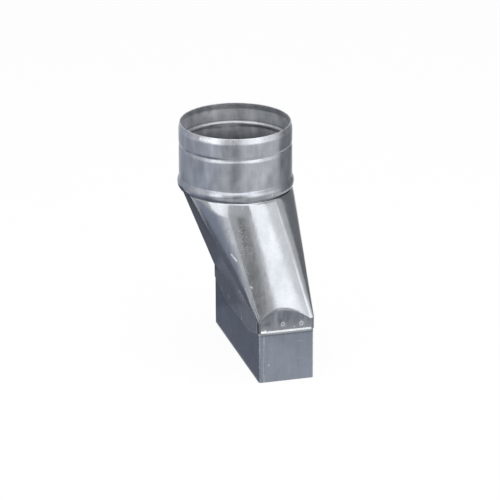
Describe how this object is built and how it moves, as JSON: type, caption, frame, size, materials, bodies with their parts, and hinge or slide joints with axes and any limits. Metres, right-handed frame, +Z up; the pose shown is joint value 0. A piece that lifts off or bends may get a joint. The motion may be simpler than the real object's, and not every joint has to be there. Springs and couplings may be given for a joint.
{
  "type": "flat duct adapter",
  "caption": "Sheet-metal duct adapter: an upright round collar, set off to one side, joined by a formed transition to a flat rectangular stub.",
  "frame": {"origin": "on the collar's axis, in the plane of the stub's open end", "axes": "+Z up along the collar's axis, towards its rim; +X from the collar's axis towards the stub, across its narrow side; Y along the stub's wide side"},
  "size_m": [0.1032, 0.1534, 0.2186],
  "materials": {
    "collar_steel": "galvanised, dull spangle with bright bead and rim",
    "body_steel": "galvanised, bright where formed",
    "stub_steel": "galvanised, smooth"
  },
  "bodies": {
    "root": {"round_collar": "collar_steel", "transition_body": "body_steel", "flat_stub": "stub_steel"}
  },
  "joints": []
}
